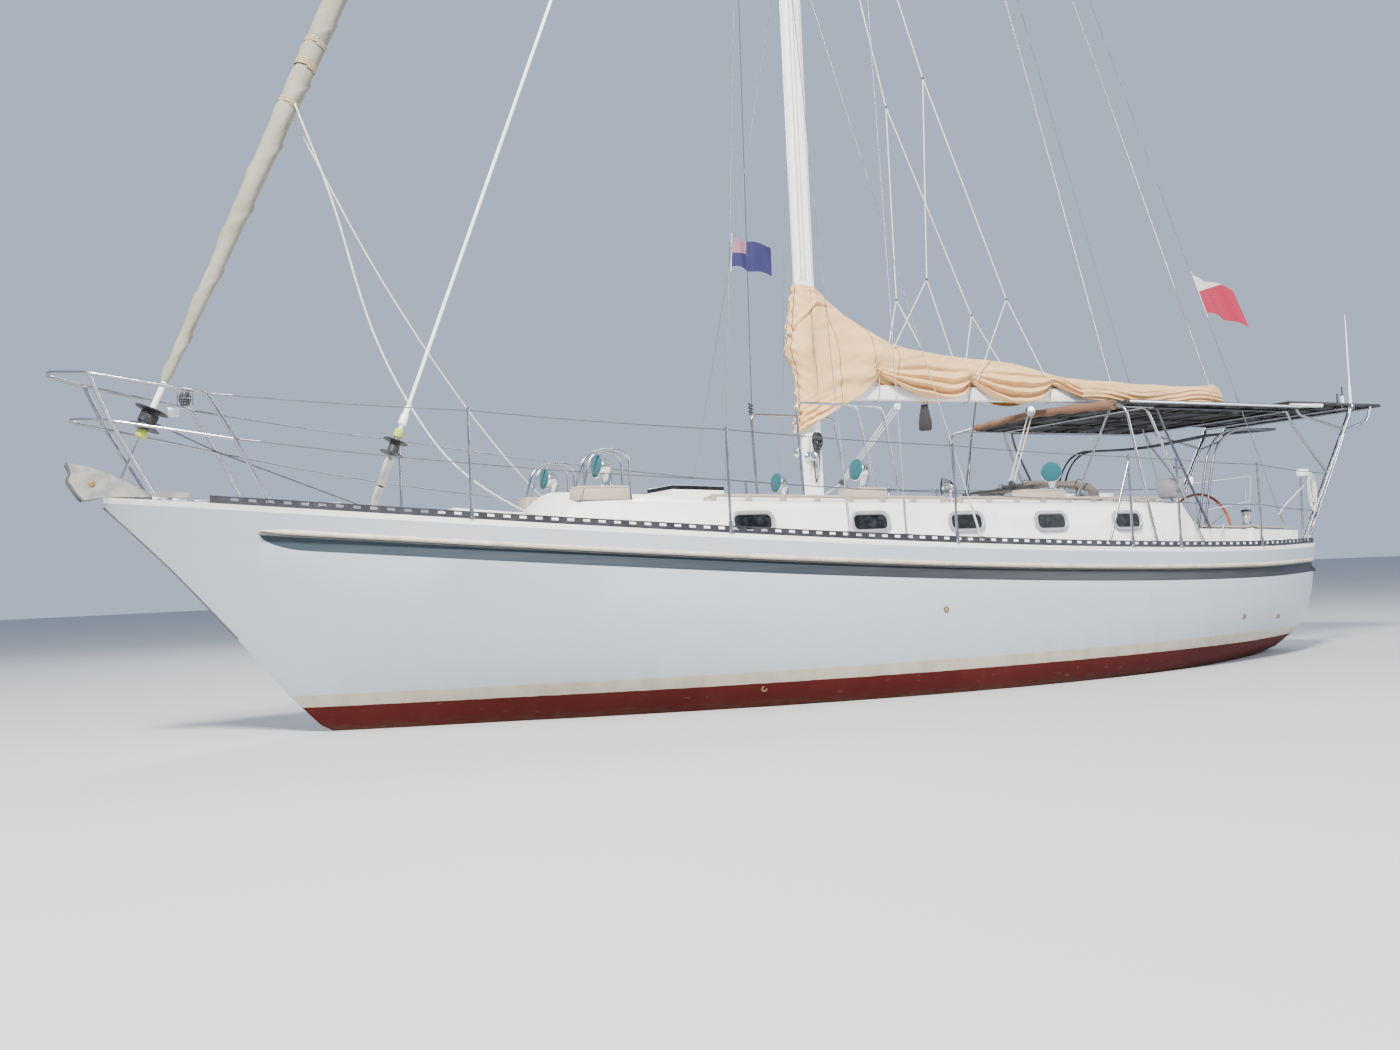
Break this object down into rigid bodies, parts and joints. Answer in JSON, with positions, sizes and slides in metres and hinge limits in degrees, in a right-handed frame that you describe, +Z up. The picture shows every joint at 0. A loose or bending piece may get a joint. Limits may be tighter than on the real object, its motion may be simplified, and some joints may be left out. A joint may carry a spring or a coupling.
{
  "type": "sailing yacht",
  "caption": "Cutter-rigged cruising yacht afloat with rolled headsails, a covered mainsail on its boom, a coachroof with ports, a solar roof over the cockpit and a stern arch.",
  "frame": {"origin": "on the centreline at the waterline, 6.5 m abaft the stem head", "axes": "+X to the bow, +Y to port, +Z up"},
  "size_m": [14.8474, 4.0278, 18.82],
  "materials": {
    "hull_paint": "white gelcoat with a cream boot top and red antifouling below it",
    "deck_gelcoat": "satin white gelcoat",
    "smoked_acrylic": "smoked, glossy",
    "winch_chrome": "polished",
    "toe_rail_alloy": "dark anodised",
    "tube_steel": "polished tube",
    "roller_steel": "weathered",
    "black_plastic": "matt",
    "spar_white": "gloss white",
    "wire_steel": "stranded wire",
    "furled_cloth": "woven, weathered",
    "cover_canvas": "woven, creased",
    "wheel_rim": "steel wheel with a leather cover on its rim",
    "antifouling": "matt",
    "bronze": "dull",
    "engine_iron": "painted",
    "teak": "weathered",
    "solar_panel": "dark cells in a bright frame"
  },
  "bodies": {
    "yacht": {"hull": "hull_paint", "deck": "deck_gelcoat", "coachroof": "deck_gelcoat", "cockpit_coaming": "deck_gelcoat", "toe_rail_port": "toe_rail_alloy", "toe_rail_starboard": "toe_rail_alloy", "pulpit": "tube_steel", "bow_roller": "roller_steel", "mast": "spar_white", "lower_spreaders": "spar_white", "upper_spreaders": "spar_white", "cap_shroud_port": "wire_steel", "cap_shroud_starboard": "wire_steel", "fore_lower_shroud_port": "wire_steel", "fore_lower_shroud_starboard": "wire_steel", "aft_lower_shroud_port": "wire_steel", "aft_lower_shroud_starboard": "wire_steel", "backstay_port": "wire_steel", "backstay_starboard": "wire_steel", "genoa_tack_fitting": "wire_steel", "staysail_tack_fitting": "wire_steel", "gooseneck": "roller_steel", "mast_boot": "cover_canvas", "steering_pedestal": "deck_gelcoat", "ballast_keel": "antifouling", "rudder_skeg": "antifouling", "shaft_bracket": "bronze", "engine": "engine_iron", "fore_dorade_port": "teak", "fore_dorade_starboard": "teak", "mast_dorade_port": "teak", "mast_dorade_starboard": "teak", "aft_dorade_port": "teak", "aft_dorade_starboard": "teak", "mast_rail_port": "tube_steel", "mast_rail_starboard": "tube_steel", "folded_sprayhood": "cover_canvas", "roof_frame": "tube_steel", "solar_roof": "solar_panel", "stern_arch": "tube_steel", "arch_panel": "solar_panel"},
    "boom": {"boom": "spar_white", "sail_cover": "cover_canvas"},
    "genoa": {"genoa_roll": "furled_cloth", "genoa_drum": "black_plastic"},
    "staysail_furler": {"staysail_foil": "spar_white", "staysail_drum": "black_plastic"},
    "anchor_roller": {"bow_roller_sheave": "black_plastic"},
    "fore_hatch": {"fore_hatch": "deck_gelcoat"},
    "saloon_hatch": {"saloon_hatch": "smoked_acrylic"},
    "companionway_slide": {"companionway_slide": "deck_gelcoat"},
    "locker_lid_port": {"locker_lid_port": "deck_gelcoat"},
    "locker_lid_starboard": {"locker_lid_starboard": "deck_gelcoat"},
    "winch_port": {"winch_port": "winch_chrome"},
    "winch_starboard": {"winch_starboard": "winch_chrome"},
    "rudder": {"rudder": "antifouling"},
    "wheel": {"steering_wheel": "wheel_rim"},
    "propeller": {"propeller": "bronze"}
  },
  "joints": [
    {"name": "boom_swing", "type": "hinge", "parent": "yacht", "child": "boom", "pos_m": [-0.405, 0, 3.045], "axis": [0, 0, 1], "range_deg": [-54, 66]},
    {"name": "genoa_furl", "type": "hinge", "parent": "yacht", "child": "genoa", "pos_m": [6.4, 0, 2.075], "axis": [-0.3978, 0, 0.9175], "continuous": true},
    {"name": "staysail_furl", "type": "hinge", "parent": "yacht", "child": "staysail_furler", "pos_m": [4.38, 0, 1.845], "axis": [-0.3609, 0, 0.9326], "continuous": true},
    {"name": "anchor_roller_turn", "type": "hinge", "parent": "yacht", "child": "anchor_roller", "pos_m": [6.66, 0, 2.08], "axis": [0, 1, 0], "continuous": true},
    {"name": "fore_hatch_open", "type": "hinge", "parent": "yacht", "child": "fore_hatch", "pos_m": [3.75, 0, 1.8214], "axis": [0, 1, 0], "range_deg": [0, 88]},
    {"name": "saloon_hatch_open", "type": "hinge", "parent": "yacht", "child": "saloon_hatch", "pos_m": [1.56, 0, 2.0215], "axis": [0, 1, 0], "range_deg": [0, 88]},
    {"name": "companionway_slide_open", "type": "slide", "parent": "yacht", "child": "companionway_slide", "axis": [1, 0, 0], "range_m": [0, 0.56]},
    {"name": "locker_lid_port_open", "type": "hinge", "parent": "yacht", "child": "locker_lid_port", "pos_m": [-4.85, 0.93, 1.322], "axis": [-1, 0, 0], "range_deg": [0, 95]},
    {"name": "locker_lid_starboard_open", "type": "hinge", "parent": "yacht", "child": "locker_lid_starboard", "pos_m": [-4.85, -0.93, 1.322], "axis": [1, 0, 0], "range_deg": [0, 95]},
    {"name": "winch_port_turn", "type": "hinge", "parent": "yacht", "child": "winch_port", "pos_m": [-5.4, 1.077, 1.45], "axis": [0, 0, 1], "continuous": true},
    {"name": "winch_starboard_turn", "type": "hinge", "parent": "yacht", "child": "winch_starboard", "pos_m": [-5.4, -1.077, 1.45], "axis": [0, 0, 1], "continuous": true},
    {"name": "rudder_turn", "type": "hinge", "parent": "yacht", "child": "rudder", "pos_m": [-5.7, 0, -0.6], "axis": [0, 0, 1], "range_deg": [-35, 35]},
    {"name": "wheel_turn", "type": "hinge", "parent": "yacht", "child": "wheel", "pos_m": [-5.83, 0, 1.42], "axis": [1, 0, 0], "range_deg": [-450, 450]},
    {"name": "propeller_turn", "type": "hinge", "parent": "yacht", "child": "propeller", "pos_m": [-4.8, 0, -0.68], "axis": [0.9766, 0, 0.2149], "continuous": true}
  ],
  "couplings": [
    {"joint": "wheel_turn", "follows": "rudder_turn", "ratio": 12.85}
  ]
}
